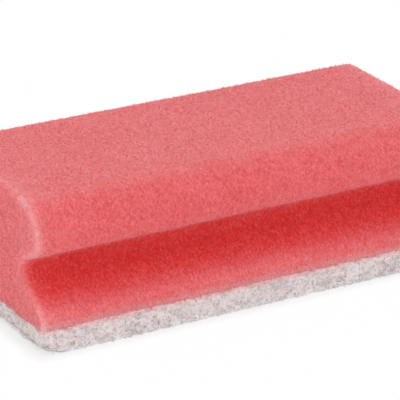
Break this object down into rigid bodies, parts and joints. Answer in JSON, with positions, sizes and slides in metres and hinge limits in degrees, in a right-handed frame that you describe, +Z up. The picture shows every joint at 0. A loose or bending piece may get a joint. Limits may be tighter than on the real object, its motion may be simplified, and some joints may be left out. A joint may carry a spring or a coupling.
{
  "type": "scouring sponge with handle",
  "caption": "Scouring sponge: a foam block cut with a finger groove along each long side as its handle, bonded to a flat non-woven scouring pad.",
  "frame": {"origin": "centre of the scouring pad's underside, the face that it rests on", "axes": "+X along the length and the two finger grooves, +Y from the front groove to the back groove, +Z up from the scouring pad to the foam's top"},
  "size_m": [0.14, 0.07, 0.0435],
  "materials": {
    "foam": "coral-red open-cell sponge foam, fully matte, with cut cells over every face",
    "scouring_fibre": "off-white non-woven fibre mat with darker abrasive grains, matte"
  },
  "bodies": {
    "root": {"foam_grip": "foam", "scouring_pad": "scouring_fibre"}
  },
  "joints": []
}
